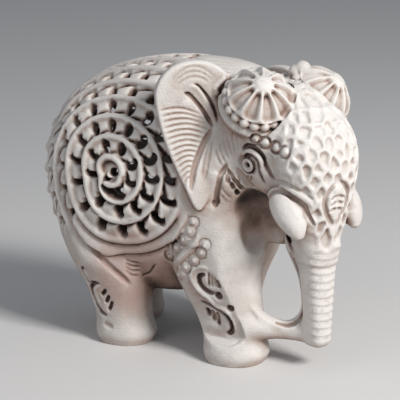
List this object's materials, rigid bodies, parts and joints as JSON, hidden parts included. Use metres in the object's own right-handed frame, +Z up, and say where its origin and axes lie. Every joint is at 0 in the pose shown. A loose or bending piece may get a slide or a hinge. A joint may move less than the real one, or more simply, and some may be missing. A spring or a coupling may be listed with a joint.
{
  "type": "soapstone elephant sculpture",
  "caption": "Carved soapstone elephant ornament with a hollow, pierced body, turned head and a trunk joined to its foreleg; it stands on its four feet.",
  "frame": {"origin": "on the ground, under the middle of the elephant's outline seen from above", "axes": "+Z up, -Y the way the elephant faces, +X towards its left flank"},
  "size_m": [0.0535, 0.1051, 0.0912],
  "materials": {
    "soapstone": "natural cream to grey soapstone, hand carved and left matt with fine file marks; brownish in the recesses"
  },
  "bodies": {
    "root": {"elephant": "soapstone"}
  },
  "joints": []
}
